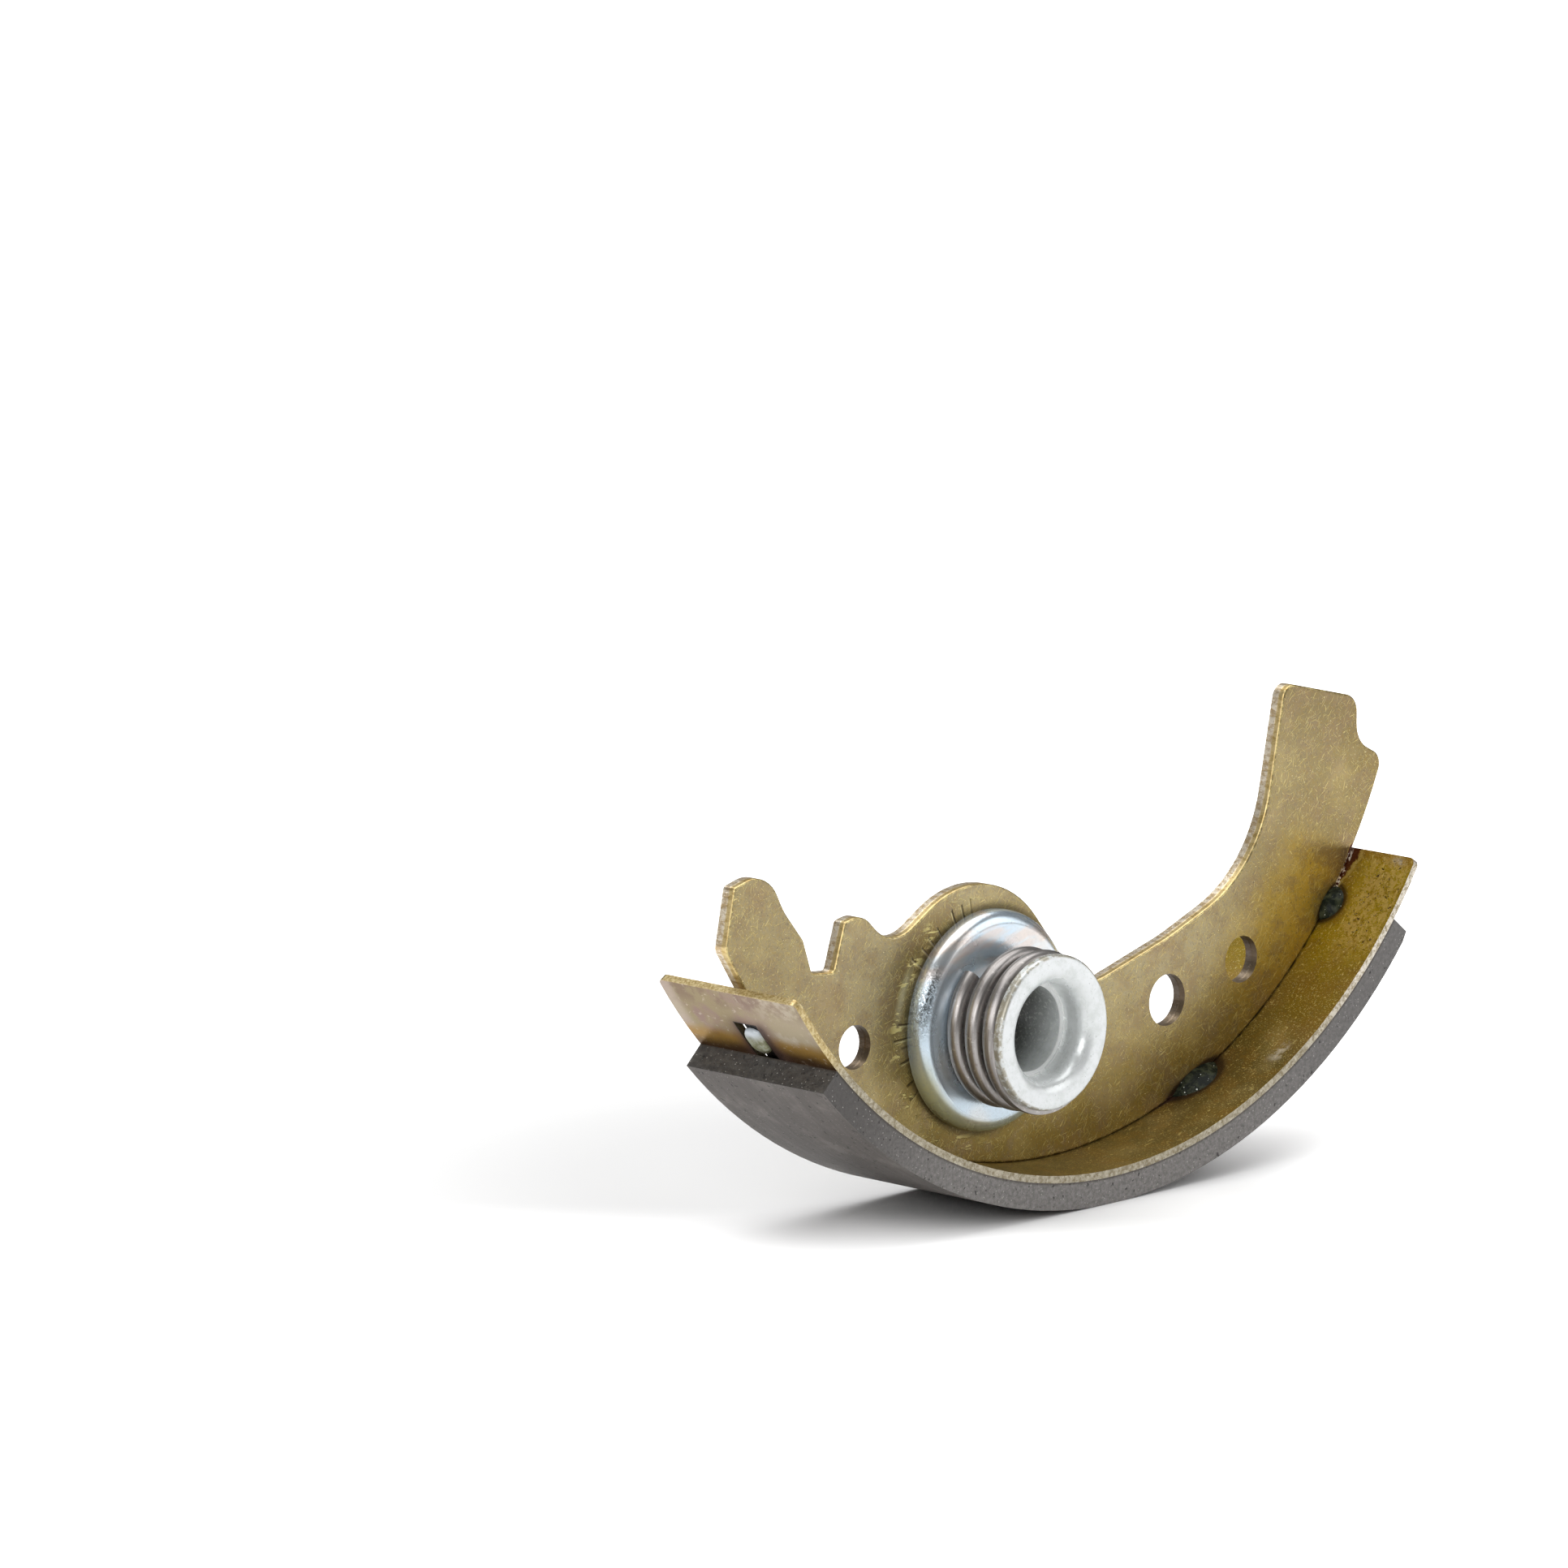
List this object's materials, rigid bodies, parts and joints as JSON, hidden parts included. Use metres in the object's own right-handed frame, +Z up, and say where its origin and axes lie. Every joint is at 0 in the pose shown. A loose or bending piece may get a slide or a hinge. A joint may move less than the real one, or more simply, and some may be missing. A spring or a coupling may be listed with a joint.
{
  "type": "drum brake shoe",
  "caption": "Bonded drum brake shoe: curved rim with friction lining on a flat web with horns, spring holes and a friction-held sleeve adjuster under a coil spring.",
  "frame": {"origin": "where the adjuster's axis meets the middle plane of the web", "axes": "X along the shoe towards the heel, Y along the drum's axis with the spring side at -Y, Z up with the lining underneath"},
  "size_m": [0.1544, 0.0315, 0.0754],
  "materials": {
    "web": "thin tan coating over bright sheet steel",
    "rim": "thin olive-brown coating over sheet steel",
    "lining": "ground grey friction compound with light and dark specks",
    "weld": "glossy dark drops",
    "washer": "bright bluish zinc plating",
    "sleeve": "bright zinc plating",
    "spring": "satin brown-grey spring wire"
  },
  "bodies": {
    "shoe": {"web": "web", "rim": "rim", "lining": "lining", "plug_weld": "weld", "weld_front_1": "weld", "weld_front_2": "weld", "weld_rear_1": "weld", "weld_rear_2": "weld"},
    "adjuster": {"front_washer": "washer", "rear_washer": "washer", "front_sleeve": "sleeve", "rear_sleeve": "sleeve", "spring": "spring"}
  },
  "joints": [
    {"name": "adjuster_slide", "type": "slide", "parent": "shoe", "child": "adjuster", "axis": [0.2377, 0, 0.9713], "range_m": [-0.0025, 0.0025]}
  ]
}
